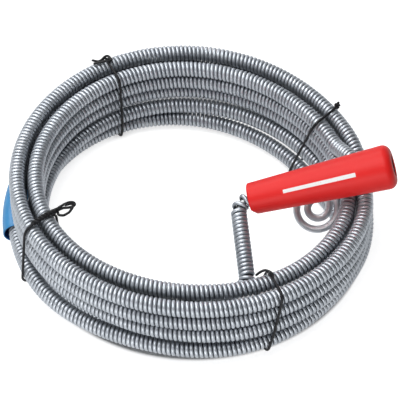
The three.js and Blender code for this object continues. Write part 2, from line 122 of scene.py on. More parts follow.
# Where the wire is parted into pieces, and two places on the cable near the hook end, in degrees.
TAIL_CUT = 32
PASS_CUT = 1
CRANK_CUT = 9
TAIL_BEND = (25, 16)

foot = np.array(JOINTS["crank_turn"]["pos_m"]) / MM
heading = np.array(JOINTS["crank_turn"]["axis"])
heading /= np.linalg.norm(heading)
grip_front = np.array(JOINTS["grip_spin"]["pos_m"]) / MM
grip_axis = np.array(JOINTS["grip_spin"]["axis"])
grip_axis /= np.linalg.norm(grip_axis)

GRIP_LENGTH = 79.78
GRIP_FRONT_R = 8.7
GRIP_REAR_R = 12
GRIP_BORE_R = 5.1
GRIP_RECESS_R = 5.9
GRIP_RECESS = 7
GRIP_HOLE_R = 2.9
GRIP_HOLE_WALL = 1.6
GRIP_BEVEL = 2.6
GRIP_FRONT_ROUND = 1.2
GRIP_REAR_ROUND = 4.5
GRIP_LIP_ROUND = 0.7
GRIP_MOUTH_ROUND = 0.6
GRIP_SIDES = 160
STRIPE_LENGTH = 40
STRIPE_HALF = 0.1  # half its width, as an angle round the grip
NUT_R = 4.8
NUT_T = 0.65
NUT_EDGE = 0.15
NUT_HOLE_R = 2.2
NUT_CLEARANCE = 0.35
NUT_DOME = 0.7
NUT_DOME_R = 4.2

FOOT_BEND_R = 8
ELBOW_BEND_R = 7.2
ELBOW_OUT = 7
CRANK_STUB = 8.5
BEND_STEPS = 24
SPRING_SHORT = 2
ROD_R = 1.95
ROD_PAST_RECESS = 3.4

HOOK_WIRE_R = 2.05
HOOK_CENTRE = np.array([66.8, -13, TOP_Z - 13])
HOOK_RADII = [11.8, 11.5, 11.3, 9.8, 7.6, 5.3, 4.6, 5.2]  # one for each quarter turn
HOOK_FROM = math.radians(22)
HOOK_TO = math.radians(-596)
HOOK_SHANK = 11
HOOK_SHANK_OUT = 1.01
HOOK_SHANK_STEP = 1.5
HOOK_BRIDGE_POINTS = 10
HOOK_SPIRAL_POINTS = 160
HOOK_EASE = 41  # points of the spiral that its radius is evened out over

SLEEVE_R = 6.5
SLEEVE_BORE_R = 5.75
SLEEVE_HANG = 1.05
SLEEVE_FROM = 154
SLEEVE_TO = 189
SLEEVE_EDGE = 0.3
SLEEVE_OVAL = 0.012
SLEEVE_SIDES = 72

TIE_R = 0.72
TIE_CORE_R = 0.38
TIE_REACH = CABLE_R + 0.15 + TIE_R
TIE_HULL_SIDES = 48
TIE_LOOP_STEP = 0.6

VIEW_SLOPE = math.radians(46.7)
CAMERA_AWAY = 1120
LENS = 183.6
LENS_SHIFT = (0.0135, -0.0623)
UP = np.array([0, 0, 1.0])
TO_CAMERA = np.array([0, -math.cos(VIEW_SLOPE), math.sin(VIEW_SLOPE)])
PICTURE_UP = np.array([0, math.sin(VIEW_SLOPE), math.cos(VIEW_SLOPE)])

# Colours, as (darker, lighter) where a material is mottled.
# The wire's valley colour is painted shade, near black down between the coils.
WIRE_VALLEY_PAINTED_SHADE = ((0.075, 0.085, 0.102), (0.12, 0.134, 0.156))
WIRE_CREST = ((0.52, 0.552, 0.595), (0.63, 0.663, 0.707))
HOOK_SHADES = ((0.78, 0.81, 0.84), (0.90, 0.92, 0.94))
ROD_SHADES = ((0.28, 0.285, 0.29), (0.42, 0.43, 0.44))
NUT_SHADES = ((0.38, 0.39, 0.40), (0.52, 0.53, 0.55))
TIE_STEEL_SHADES = ((0.32, 0.32, 0.33), (0.46, 0.46, 0.47))
RED_SHADES = ((0.74, 0.013, 0.012), (0.80, 0.019, 0.017))
STRIPE_WHITE = (0.86, 0.85, 0.84)
# The grip recess colour is painted shade in the hole.
RECESS_PAINTED_SHADE = (0.05, 0.006, 0.006)
BLUE_SHADES = ((0.022, 0.195, 0.44), (0.034, 0.24, 0.51))
# The sleeve's inside colour is painted shade.
BLUE_INSIDE_PAINTED_SHADE = (0.006, 0.045, 0.20)
BLACK_SHADES = ((0.006, 0.006, 0.007), (0.022, 0.022, 0.025))
CARD_SHADES = ((0.50, 0.505, 0.51), (0.54, 0.545, 0.55))

# ---------------------------------------------------------------- the cable's path


def smooth(x):
    t = np.clip(x, 0, 1)
    return t * t * (3 - 2 * t)


def outer_radius(a):
    s = OUTER_SWAY
    single = s["cos1"] * np.cos(a)
    double = s["cos2"] * np.cos(2 * a) + s["sin2"] * np.sin(2 * a)
    return OUTER_COLUMN_R + single + double + s["sin3"] * np.sin(3 * a)


def inner_radius(a):
    s = GAP_SWAY
    gap = COLUMN_GAP + s["cos1"] * np.cos(a) + s["sin1"] * np.sin(a) + s["cos2"] * np.cos(2 * a)
    return outer_radius(a) - gap


def sleeve_circle(a, r):
    across = SLEEVE_PASS_X * np.sin(a)
    return SLEEVE_PASS_X * np.cos(a) + np.sqrt(r**2 - across**2)


def sleeve_pass_radius(a):
    near = np.maximum(0, -np.sin(a) - SLEEVE_PASS_CALM)
    return sleeve_circle(a, SLEEVE_PASS_R) + NEAR_RIPPLE * near * np.cos(4 * a - NEAR_RIPPLE_TURN)


def places(a):
    """Radius and height of each place in the bundle's cross-section, in the order the cable visits them."""
    near = np.maximum(0, -np.sin(a))
    far = np.maximum(0, np.sin(a))
    inner, outer = inner_radius(a), outer_radius(a)
    stray = INNER_4_STRAY
    radii = [
        inner + INNER_2_FAR * far,
        inner + INNER_3_OUT,
        inner + stray["all"] + stray["cos1"] * np.cos(a) + stray["cos2"] * np.cos(2 * a),
        sleeve_pass_radius(a),
        outer + OUTER_2_NEAR * near * np.sin(2 * a - OUTER_2_TURN),
        outer + OUTER_1_NEAR * near,
        outer,
        inner,
        inner,
    ]
    layers = np.array([2, 3, 4, SLEEVE_PASS_LAYER, 2, 1, 0, 0, 1])
    drops = np.array([0, 0, 0, SLEEVE_PASS_DROP, 0, 0, 0, 0, 0])
    heights = np.repeat((TOP_Z - layers * LAYER_PITCH - drops)[:, None], len(a), axis=1)
    return np.array(radii), heights


def feed_line_radius(a):
    turn = math.atan2(heading[1], heading[0])
    offset = foot[0] * math.sin(turn) - foot[1] * math.cos(turn)
    return offset / np.cos(a - turn + math.pi / 2)


def cable_at(deg):
    """Centre-line points at these degrees along the cable, counted from the hook end."""
    deg = np.atleast_1d(np.asarray(deg, float))
    a = np.radians(deg)
    shift = np.floor((deg - SHIFT_AT) / 360 + 0.5).astype(int)
    into = (deg - SHIFT_AT - shift * 360 + SHIFT_HALF) / (2 * SHIFT_HALF)
    place = np.clip(shift - 1, 0, LAST_PASS)
    after = np.minimum(place + 1, LAST_PASS)
    t = np.where(shift > 0, smooth(into), 0)
    radii, heights = places(a)
    column = np.arange(len(deg))
    r = radii[place, column] * (1 - t) + radii[after, column] * t
    z = heights[place, column] * (1 - t) + heights[after, column] * t
    hump = np.sin(math.pi * t)
    z = z + np.where(place == OVER_THE_TOP, TOP_HUMP * hump, 0)
    r = r + np.where(place == ROUND_THE_FOOT, LOW_SWING_R * hump, 0)
    z = z + np.where(place == ROUND_THE_FOOT, LOW_SWING_Z * hump, 0)
    r = r - TAIL_IN * smooth((TAIL_TO + TAIL_MARGIN["to"] - deg) / (TAIL_TO + TAIL_MARGIN["from"]))
    z = z + TAIL_UP * smooth((TAIL_RISE - deg) / TAIL_RISE)
    feed = smooth((deg - LAST_PASS * 360 - FEED_FROM) / (FEED_TO - FEED_FROM))
    leaving = feed > 0
    r[leaving] += (feed_line_radius(a[leaving]) - r[leaving]) * feed[leaving]
    return np.stack([r * np.cos(a), r * np.sin(a), z], axis=-1)


def unit(v):
    return v / np.linalg.norm(v, axis=-1, keepdims=True)


def rounded_run(corners, bends):
    """A run of straight lines through corners, each corner rounded by an arc."""
    out = [corners[0]]
    for i in range(1, len(corners) - 1):
        back = unit(corners[i - 1] - corners[i])
        on = unit(corners[i + 1] - corners[i])
        half = math.acos(float(np.dot(back, on))) / 2
        bend = bends[i - 1]
        reach = bend / math.tan(half)
        centre = corners[i] + unit(back + on) * bend / math.sin(half)
        first = corners[i] + back * reach - centre
        last = corners[i] + on * reach - centre
        span = math.acos(float(np.dot(unit(first), unit(last))))
        for w in np.linspace(0, 1, BEND_STEPS + 1):
            mix = (math.sin((1 - w) * span) * first + math.sin(w * span) * last) / math.sin(span)
            out.append(centre + mix)
    out.append(corners[-1])
    return np.array(out)


def resampled(points, step):
    """Points at even spacing along a polyline, and each one's length along it."""
    lengths = np.r_[0, np.cumsum(np.linalg.norm(np.diff(points, axis=0), axis=1))]
    keep = np.r_[True, np.diff(lengths) > 1e-7]
    points, lengths = points[keep], lengths[keep]
    count = max(2, int(round(lengths[-1] / step)) + 1)
    s = np.linspace(0, lengths[-1], count)
    return np.stack([np.interp(s, lengths, points[:, c]) for c in range(3)], axis=-1), s


def averaged(values, window):
    """A running mean over an odd number of values; the ends are held."""
    return np.convolve(np.pad(values, window // 2, mode="edge"), np.ones(window) / window, mode="valid")


def rounded_off(points, times):
    """Points with corners worn round by averaging neighbours; the ends stay put."""
    p = points.copy()
    for _ in range(times):
        p[1:-1] = (p[:-2] + 2 * p[1:-1] + p[2:]) / 4
    return p


# ---------------------------------------------------------------- mesh building


def make_mesh(name, verts, quads, tris=(), values=None):
    """A smooth-shaded mesh object from millimetre points, with float attributes on its points."""
    me = bpy.data.meshes.new(name)
    verts = np.asarray(verts, float) * MM
    quads = np.asarray(quads, int).reshape(-1, 4)
    tris = np.asarray(tris, int).reshape(-1, 3)
    me.vertices.add(len(verts))
    me.vertices.foreach_set("co", verts.astype(np.float32).ravel())
    me.loops.add(quads.size + tris.size)
    me.loops.foreach_set("vertex_index", np.r_[quads.ravel(), tris.ravel()].astype(np.int32))
    me.polygons.add(len(quads) + len(tris))
    starts = np.r_[np.arange(len(quads)) * 4, quads.size + np.arange(len(tris)) * 3]
    me.polygons.foreach_set("loop_start", starts.astype(np.int32))
    me.polygons.foreach_set("use_smooth", np.ones(len(quads) + len(tris), bool))
    for key, data in (values or {}).items():
        layer = me.attributes.new(key, "FLOAT", "POINT")
        layer.data.foreach_set("value", np.asarray(data, np.float32).ravel())
    me.update(calc_edges=True)
    obj = bpy.data.objects.new(name, me)
    bpy.context.scene.collection.objects.link(obj)
    return obj


def grid_quads(rows, cols, close_rows=False, close_cols=True):
    r = np.arange(rows if close_rows else rows - 1)
    c = np.arange(cols if close_cols else cols - 1)
    rr, cc = np.meshgrid(r, c, indexing="ij")
    r2, c2 = (rr + 1) % rows, (cc + 1) % cols
    quad = np.stack([rr * cols + cc, rr * cols + c2, r2 * cols + c2, r2 * cols + cc], axis=-1)
    return quad.reshape(-1, 4)


def frames_along(points):
    """Tangents of a run of points, and two normals that are carried along it without twisting."""
    t = unit(np.gradient(points, axis=0))
    u = np.zeros_like(t)
    normal = UP if abs(t[0, 2]) < 0.8 else np.array([1.0, 0.0, 0.0])
    for i, tangent in enumerate(t):
        normal = unit(normal - tangent * np.dot(normal, tangent))
        u[i] = normal
    return t, u, np.cross(t, u)


def around(sides):
    return np.arange(sides) / sides * 2 * math.pi


def tube(name, points, radius, sides, tip):
    """A round wire along points. Its ends are cut square with an edge rounded by tip."""
    points = np.asarray(points, float)
    t, u, v = frames_along(points)
    rounding = [(tip * math.sin(b), radius - tip * (1 - math.cos(b))) for b in np.radians([30, 60, 90])]
    rounding.append((tip, 0.02))
    rows = [(points[0] - t[0] * out, r, 0) for out, r in reversed(rounding)]
    rows += [(point, radius, i) for i, point in enumerate(points)]
    rows += [(points[-1] + t[-1] * out, r, -1) for out, r in rounding]
    centres, radii, pick = (np.array(part) for part in zip(*rows))
    a = around(sides)[None, :, None]
    ring = u[pick, None] * np.cos(a) + v[pick, None] * np.sin(a)
    verts = centres[:, None] + ring * radii[:, None, None]
    return make_mesh(name, verts.reshape(-1, 3), grid_quads(len(rows), sides))


def turned(name, profile, sides, origin, axis, shape, values=None):
    """A body of revolution about axis from (radius, height) pairs given in order round its section."""
    t = unit(np.asarray(axis, float))
    u = unit(np.cross(t, UP))
    v = np.cross(t, u)
    profile = np.asarray(profile, float)
    a = around(sides)
    spoke = u * np.cos(a)[:, None] + v * np.sin(a)[:, None]
    radii, heights = profile[:, 0, None, None], profile[:, 1, None, None]
    verts = shape((origin + radii * spoke + heights * t).reshape(-1, 3))
    quads = grid_quads(len(profile), sides, close_rows=True)[:, ::-1]
    return make_mesh(name, verts, quads, values=values(profile, a) if values else None)


def arc(centre, radius, start, end, steps):
    b = np.radians(np.linspace(start, end, steps + 1))
    return [(centre[0] + radius * math.cos(x), centre[1] + radius * math.sin(x)) for x in b]


# ---------------------------------------------------------------- materials


def node(tree, kind, settings=None, **inputs):
    """A new node. An input is given by name, or by i and its number, and may be another node's output."""
    n = tree.nodes.new(kind)
    for key, value in (settings or {}).items():
        setattr(n, key, value)
    for key, value in inputs.items():
        numbered = key[0] == "i" and key[1:].isdigit()
        socket = n.inputs[int(key[1:])] if numbered else n.inputs[key.replace("_", " ")]
        if isinstance(value, bpy.types.NodeSocket):
            tree.links.new(value, socket)
        else:
            socket.default_value = value
    return n


def new_material(name, **base):
    m = bpy.data.materials.new(name)
    m.use_nodes = True
    shader = m.node_tree.nodes["Principled BSDF"]
    for key, value in base.items():
        shader.inputs[key.replace("_", " ")].default_value = value
    return m, m.node_tree, shader


def noise(tree, scale, detail=3, roughness=0.55, vector=None, distortion=0.0):
    if vector is None:
        vector = node(tree, "ShaderNodeTexCoord").outputs["Object"]
    n = node(tree, "ShaderNodeTexNoise", None, Vector=vector, Scale=scale, Detail=detail)
    n.inputs["Roughness"].default_value = roughness
    n.inputs["Distortion"].default_value = distortion
    return n.outputs["Fac"]


def remap(tree, value, from_low, from_high, to_low, to_high):
    n = node(tree, "ShaderNodeMapRange", None, Value=value)
    for key, x in zip(("From Min", "From Max", "To Min", "To Max"), (from_low, from_high, to_low, to_high)):
        n.inputs[key].default_value = x
    return n.outputs["Result"]


def blend_colour(tree, factor, a, b):
    """A mix of two colours, each of which is a node's output or three plain numbers."""
    a, b = (c if isinstance(c, bpy.types.NodeSocket) else (*c, 1) for c in (a, b))
    return node(tree, "ShaderNodeMix", {"data_type": "RGBA"}, i0=factor, i6=a, i7=b).outputs[2]


def mottled(tree, value, shades, low=0.3):
    return blend_colour(tree, remap(tree, value, low, 0.7, 0, 1), *shades)


def maths(tree, operation, a, b=0.0, c=0.0):
    return node(tree, "ShaderNodeMath", {"operation": operation}, i0=a, i1=b, i2=c).outputs[0]


def bump(tree, shader, height, strength, distance, under=None):
    n = node(tree, "ShaderNodeBump", None, Height=height, Strength=strength, Distance=distance * MM)
    if under is not None:
        tree.links.new(under, n.inputs["Normal"])
    tree.links.new(n.outputs["Normal"], shader.inputs["Normal"])
    return n.outputs["Normal"]


def attribute(tree, name):
    return node(tree, "ShaderNodeAttribute", {"attribute_name": name}).outputs["Fac"]


def spring_steel():
    """Zinc-plated wire: satin and bluish on the crests, dull down between the coils, where painted shade
    makes it dark.
    """
    m, tree, shader = new_material("spring_steel", Metallic=0.9)
    crest = attribute(tree, "crest")
    cloud = remap(tree, noise(tree, 60, 4), 0.35, 0.65, 0, 1)
    fine = noise(tree, 1400, 2)
    # Painted shade: the valley colour darkens the wire down between the coils.
    low = blend_colour(tree, cloud, *WIRE_VALLEY_PAINTED_SHADE)
    high = blend_colour(tree, cloud, *WIRE_CREST)
    shade = remap(tree, crest, 0.42, 0.9, 0, 1)
    # Painted shade darkens the metal's colour where passes and coils lie close together.
    painted_shade_ao = node(tree, "ShaderNodeAmbientOcclusion", {"samples": 6}, Distance=8 * MM).outputs["AO"]
    shade = maths(tree, "MULTIPLY", shade, remap(tree, painted_shade_ao, 0.1, 0.62, 0.3, 1))
    colour = blend_colour(tree, shade, low, high)
    tree.links.new(colour, shader.inputs["Base Color"])
    dull = remap(tree, crest, 0.4, 0.9, 0.2, 0)
    rough = maths(tree, "ADD", remap(tree, fine, 0.3, 0.7, 0.40, 0.52), dull)
    tree.links.new(rough, shader.inputs["Roughness"])
    bump(tree, shader, fine, 0.25, 0.05)
    return m


def drawn_steel(name, shades, smoothest, roughest):
    m, tree, shader = new_material(name, Metallic=1.0)
    cloud = noise(tree, 90, 4, 0.6, distortion=0.4)
    fine = noise(tree, 1800, 2)
    tree.links.new(mottled(tree, cloud, shades), shader.inputs["Base Color"])
    rough = remap(tree, maths(tree, "MULTIPLY", cloud, fine), 0.1, 0.4, smoothest, roughest)
    tree.links.new(rough, shader.inputs["Roughness"])
    bump(tree, shader, fine, 0.2, 0.04)
    return m


def grip_plastic():
    """Soft-gloss red with one plain white stripe, slightly worn."""
    m, tree, shader = new_material("grip_plastic", Metallic=0.0)
    along = attribute(tree, "along")
    round_it = attribute(tree, "around")
    cloud = noise(tree, 35, 3)
    red = mottled(tree, cloud, RED_SHADES)

    def band(value, low, high, soft):
        rise = remap(tree, value, low - soft, low + soft, 0, 1)
        fall = remap(tree, value, high - soft, high + soft, 1, 0)
        return maths(tree, "MULTIPLY", rise, fall)

    # The stripe is midway along the grip, on the side that faces the camera.
    lengthwise = band(along, (GRIP_LENGTH - STRIPE_LENGTH) / 2, (GRIP_LENGTH + STRIPE_LENGTH) / 2, 0.12)
    crosswise = band(round_it, -STRIPE_HALF, STRIPE_HALF, 0.012)
    worn = remap(tree, noise(tree, 900, 4, 0.7), 0.3, 0.42, 0.6, 1)
    stripe = maths(tree, "MULTIPLY", maths(tree, "MULTIPLY", lengthwise, crosswise), worn)
    colour = blend_colour(tree, stripe, red, STRIPE_WHITE)
    # Painted shade: the recess is coloured almost black.
    colour = blend_colour(tree, attribute(tree, "recess"), colour, RECESS_PAINTED_SHADE)
    tree.links.new(colour, shader.inputs["Base Color"])
    shader.inputs["Specular IOR Level"].default_value = 0.3
    fine = noise(tree, 2600, 2)
    chalky = maths(tree, "MULTIPLY", stripe, 0.1)
    rough = maths(tree, "ADD", remap(tree, cloud, 0.3, 0.7, 0.42, 0.5), chalky)
    tree.links.new(rough, shader.inputs["Roughness"])
    first = bump(tree, shader, fine, 0.12, 0.05)
    bump(tree, shader, cloud, 0.15, 0.3, first)
    return m


def sleeve_plastic():
    """Blue tube with faint lines drawn round it, and painted shade making it darker inside."""
    m, tree, shader = new_material("sleeve_plastic", Metallic=0.0)
    cloud = noise(tree, 70, 3)
    place = node(tree, "ShaderNodeTexCoord").outputs["Object"]
    streak = node(tree, "ShaderNodeMapping", None, Vector=place, Scale=(4, 0.25, 4))
    lines = noise(tree, 500, 3, 0.6, streak.outputs["Vector"])
    outside = mottled(tree, cloud, BLUE_SHADES)
    # Painted shade: the inside of the tube is coloured darker.
    colour = blend_colour(tree, attribute(tree, "inside"), outside, BLUE_INSIDE_PAINTED_SHADE)
    tree.links.new(colour, shader.inputs["Base Color"])
    tree.links.new(remap(tree, lines, 0.3, 0.7, 0.3, 0.46), shader.inputs["Roughness"])
    bump(tree, shader, lines, 0.25, 0.06)
    return m


def tie_plastic():
    m, tree, shader = new_material("tie_plastic", Metallic=0.0)
    cloud = noise(tree, 260, 4)
    tree.links.new(mottled(tree, cloud, BLACK_SHADES, low=0.35), shader.inputs["Base Color"])
    tree.links.new(remap(tree, cloud, 0.3, 0.7, 0.32, 0.55), shader.inputs["Roughness"])
    shader.inputs["Specular IOR Level"].default_value = 0.25
    bump(tree, shader, noise(tree, 1500, 3), 0.35, 0.08)
    return m


STEEL = spring_steel()
HOOK_STEEL = drawn_steel("hook_steel", HOOK_SHADES, 0.46, 0.62)
ROD_STEEL = drawn_steel("rod_steel", ROD_SHADES, 0.3, 0.5)
NUT_STEEL = drawn_steel("nut_steel", NUT_SHADES, 0.26, 0.44)
TIE_STEEL = drawn_steel("tie_steel", TIE_STEEL_SHADES, 0.3, 0.5)
RED = grip_plastic()
BLUE = sleeve_plastic()
BLACK = tie_plastic()


def dressed(obj, material):
    obj.data.materials.append(material)
    return obj


# ---------------------------------------------------------------- the wound spring

stub_start = foot - heading * (CRANK_STUB + FOOT_BEND_R)
stub_angle = 360 + math.degrees(math.atan2(stub_start[1], stub_start[0]))
elbow = grip_front - grip_axis * ELBOW_OUT
recess_floor = GRIP_LENGTH - GRIP_RECESS
spring_end = grip_front + grip_axis * (recess_floor - SPRING_SHORT)
crank_run = rounded_run([stub_start, foot, elbow, spring_end], [FOOT_BEND_R, ELBOW_BEND_R])

CABLE_END = LAST_PASS * 360 + stub_angle
cable_degrees = np.arange(TAIL_FROM, CABLE_END - PATH_SHORT, PATH_STEP)
coil_line = cable_at(cable_degrees)
whole_line, whole_s = resampled(np.vstack([coil_line, crank_run]), LINE_STEP)
whole_line = rounded_off(whole_line, 6)

coil_s = np.r_[0, np.cumsum(np.linalg.norm(np.diff(coil_line, axis=0), axis=1))]


def distance_at(deg):
    """Length along the cable, from the hook end, at these degrees round the coil."""
    return float(np.interp(deg, cable_degrees, coil_s))


def wound_wire():
    """The wire of the whole spring: the cable's centre, the way outwards, the wire's centre, the length."""
    tangent = unit(np.gradient(whole_line, axis=0))
    step = whole_s[1] - whole_s[0]
    bend = averaged(np.linalg.norm(np.gradient(tangent, axis=0), axis=1) / step, BEND_WINDOW)
    # Coils touch on the inside of a bend and fan open on the outside.
    pitch = COIL_PITCH / (1 - np.minimum(FANNED_MOST, COIL_R * bend))
    turns = np.diff(whole_s) * 2 * math.pi / ((pitch[1:] + pitch[:-1]) / 2)
    phase = np.r_[0, np.cumsum(turns)]
    want = np.arange(0, phase[-1], 2 * math.pi / STEPS_A_COIL)
    s = np.interp(want, phase, whole_s)
    centre = np.stack([np.interp(s, whole_s, whole_line[:, c]) for c in range(3)], axis=-1)
    t = unit(np.stack([np.interp(s, whole_s, tangent[:, c]) for c in range(3)], axis=-1))
    across = unit(np.cross(t, UP))
    up = np.cross(across, t)
    out = across * np.cos(want)[:, None] - up * np.sin(want)[:, None]
    return centre, out, centre + out * COIL_R, s


wire_centre, wire_out, wire_line, wire_s = wound_wire()
wire_tangent = unit(np.gradient(wire_line, axis=0))
wire_side = unit(np.cross(wire_tangent, wire_out))
wire_out = np.cross(wire_side, wire_tangent)


def spring_piece(name, from_s, to_s, cap_first=False, cap_last=False):
    low, high = np.searchsorted(wire_s, [from_s, to_s])
    pick = slice(max(0, low), min(len(wire_s), high + 1))
    a = around(WIRE_SIDES)[None, :, None] + math.pi / WIRE_SIDES
    section = wire_out[pick, None] * np.cos(a) + wire_side[pick, None] * np.sin(a)
    verts = wire_line[pick, None] + section * WIRE_R
    crest = np.linalg.norm(verts - wire_centre[pick, None], axis=-1)
    crest = (crest - (CABLE_R - 2 * WIRE_R)) / (2 * WIRE_R)
    rows = verts.shape[0]
    verts = verts.reshape(-1, 3)
    crest = crest.ravel()
    tris = []
    k = np.arange(WIRE_SIDES)
    following = (k + 1) % WIRE_SIDES
    for wanted, row, flip in ((cap_first, 0, True), (cap_last, rows - 1, False)):
        if not wanted:
            continue
        ring = k + row * WIRE_SIDES
        start = len(verts)
        verts = np.vstack([verts, verts[ring], verts[ring].mean(axis=0)])
        crest = np.r_[crest, crest[ring], CUT_END_CREST]
        hub = np.full(WIRE_SIDES, start + WIRE_SIDES)
        order = [hub, start + following, start + k] if flip else [hub, start + k, start + following]
        tris.append(np.stack(order, axis=-1))
    tris = np.vstack(tris) if tris else ()
    obj = make_mesh(name, verts, grid_quads(rows, WIRE_SIDES), tris, {"crest": crest})
    return dressed(obj, STEEL)


cuts = [distance_at(TAIL_CUT)]
cuts += [distance_at(360 * k + PASS_CUT) for k in range(1, LAST_PASS + 1)]
cuts.append(distance_at(CABLE_END - CRANK_CUT))
for k in range(LAST_PASS + 1):
    piece = spring_piece(f"cable_pass_{k + 1}", cuts[k], cuts[k + 1])
    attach(piece, "coil")
    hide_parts("spring_cable")

tail = spring_piece("cable_hook_end", 0, cuts[0], cap_first=True)
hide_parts("hook_tail_spring")
still, flexed = (tuple(cable_at(deg)[0] * MM) for deg in TAIL_BEND)
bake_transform(tail)

crank = spring_piece("cable_crank_end", cuts[-1], whole_s[-1], cap_last=True)
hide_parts("crank_spring")
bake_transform(crank)

rod_end = grip_front + grip_axis * (recess_floor + ROD_PAST_RECESS)
rod_run = rounded_run([stub_start + heading, foot, elbow, rod_end], [FOOT_BEND_R, ELBOW_BEND_R])
rod_line, _ = resampled(rod_run, 1.0)
rod = dressed(tube("core_rod", rod_line, ROD_R, 20, tip=0.5), ROD_STEEL)
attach(rod, "crank")
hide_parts("crank_core_rod")

# ---------------------------------------------------------------- the grip


def grip_bevel(verts):
    """Takes the lower front edge off at 45 degrees."""
    down = unit(grip_axis * np.dot(PICTURE_UP, grip_axis) - PICTURE_UP)
    normal = unit(grip_axis - down)
    edge = grip_front + down * (GRIP_FRONT_R - GRIP_BEVEL)
    depth = (verts - edge) @ normal
    return np.where((depth < 0)[:, None], verts - depth[:, None] * normal, verts)


def grip_values(profile, a):
    """Length along the grip, angle round it from the side that faces the camera, and the recess."""
    u = unit(np.cross(grip_axis, UP))
    v = np.cross(grip_axis, u)
    face = math.atan2(float(np.dot(TO_CAMERA, v)), float(np.dot(TO_CAMERA, u)))
    angle = (a - face + math.pi) % (2 * math.pi) - math.pi
    radius, height = profile[:, :1], profile[:, 1:]
    along = np.where(radius < GRIP_RECESS_R - 0.3, 0, height)
    recess = (radius < GRIP_RECESS_R + 0.05) & (height < GRIP_LENGTH - 0.5)
    rows = {"along": along, "around": angle[None], "recess": recess.astype(float)}
    return {key: np.broadcast_to(value, (len(profile), len(a))) for key, value in rows.items()}


def grip_profile():
    slope = math.degrees(math.atan2(GRIP_REAR_R - GRIP_FRONT_R, GRIP_LENGTH))
    edge, back = GRIP_FRONT_ROUND, GRIP_REAR_ROUND
    lip, mouth = GRIP_LIP_ROUND, GRIP_MOUTH_ROUND
    front = arc((GRIP_FRONT_R - edge, edge), edge, -90, -slope, 8)
    rear = arc((GRIP_REAR_R - back, GRIP_LENGTH - back), back, -slope, 90, 16)
    side = np.linspace(front[-1], rear[0], 60)[1:-1]
    into_recess = arc((GRIP_RECESS_R + lip, GRIP_LENGTH - lip), lip, 90, 180, 6)
    wall_end = recess_floor - GRIP_HOLE_WALL
    recess = [
        (GRIP_RECESS_R - 0.1, recess_floor + 0.5),
        (GRIP_RECESS_R - 0.5, recess_floor),
        (GRIP_HOLE_R, recess_floor),
        (GRIP_HOLE_R, wall_end),
    ]
    bore = [(GRIP_BORE_R, h) for h in np.linspace(wall_end, mouth, 12)[:-1]]
    out_of_bore = arc((GRIP_BORE_R + mouth, mouth), mouth, 180, 270, 5)
    return np.vstack([front, side, rear, into_recess, recess, bore, out_of_bore])


grip = turned("grip_moulding", grip_profile(), GRIP_SIDES, grip_front, grip_axis, grip_bevel, grip_values)
dressed(grip, RED)
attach(grip, "grip")
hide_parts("grip")


def nut_dome(verts):
    """Domes the push nut's middle and leaves its rim flat."""
    rel = verts - grip_front
    h = rel @ grip_axis
    radial = np.linalg.norm(rel - h[:, None] * grip_axis, axis=1)
    rise = NUT_DOME * smooth((NUT_DOME_R - radial) / 2.0)
    return verts + rise[:, None] * grip_axis


nut_floor = recess_floor + NUT_CLEARANCE
flats = [3, 3.6, NUT_DOME_R, NUT_R - NUT_EDGE]
nut_profile = [(NUT_HOLE_R, nut_floor + 0.1)] + [(r, nut_floor) for r in flats]
nut_profile += [(NUT_R, nut_floor + NUT_EDGE), (NUT_R, nut_floor + NUT_T - NUT_EDGE)]
nut_profile += [(r, nut_floor + NUT_T) for r in reversed(flats)] + [(2.3, nut_floor + 0.6)]
nut = turned("push_nut", nut_profile, 64, grip_front, grip_axis, nut_dome)
dressed(nut, NUT_STEEL)
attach(nut, "crank")
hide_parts("grip_push_nut")

# ---------------------------------------------------------------- the hook


def hook_line():
    """The shank inside the cable's end, then a flat spiral in the plane that faces the camera."""
    across = np.array([1.0, 0, 0])
    shank = cable_at(np.arange(TAIL_FROM + HOOK_SHANK, TAIL_FROM - HOOK_SHANK_OUT, -HOOK_SHANK_STEP))
    angles = np.linspace(HOOK_FROM, HOOK_TO, HOOK_SPIRAL_POINTS)
    quarter = (HOOK_FROM - angles) / (math.pi / 2)
    radii = averaged(np.interp(quarter, range(len(HOOK_RADII)), HOOK_RADII), HOOK_EASE)
    spokes = np.cos(angles)[:, None] * across + np.sin(angles)[:, None] * PICTURE_UP
    spiral = HOOK_CENTRE + radii[:, None] * spokes
    joined = np.vstack([shank, bridge(shank[-2], shank[-1], spiral[0], spiral[1]), spiral])
    line, _ = resampled(joined, 0.5)
    return rounded_off(line, 10)


def bridge(a0, a1, b0, b1):
    """A smooth join from a1, heading on from a0, to b0, heading towards b1."""
    reach = np.linalg.norm(b0 - a1)
    m0, m1 = unit(a1 - a0) * reach, unit(b1 - b0) * reach
    t = np.linspace(0, 1, HOOK_BRIDGE_POINTS + 2)[1:-1, None]
    h00, h10 = 2 * t**3 - 3 * t**2 + 1, t**3 - 2 * t**2 + t
    h01, h11 = -2 * t**3 + 3 * t**2, t**3 - t**2
    return h00 * a1 + h10 * m0 + h01 * b0 + h11 * m1


hook = dressed(tube("pigtail_hook", hook_line(), HOOK_WIRE_R, 24, tip=0.5), HOOK_STEEL)
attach(hook, "hook")
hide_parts("auger_hook")

# ---------------------------------------------------------------- the sleeve


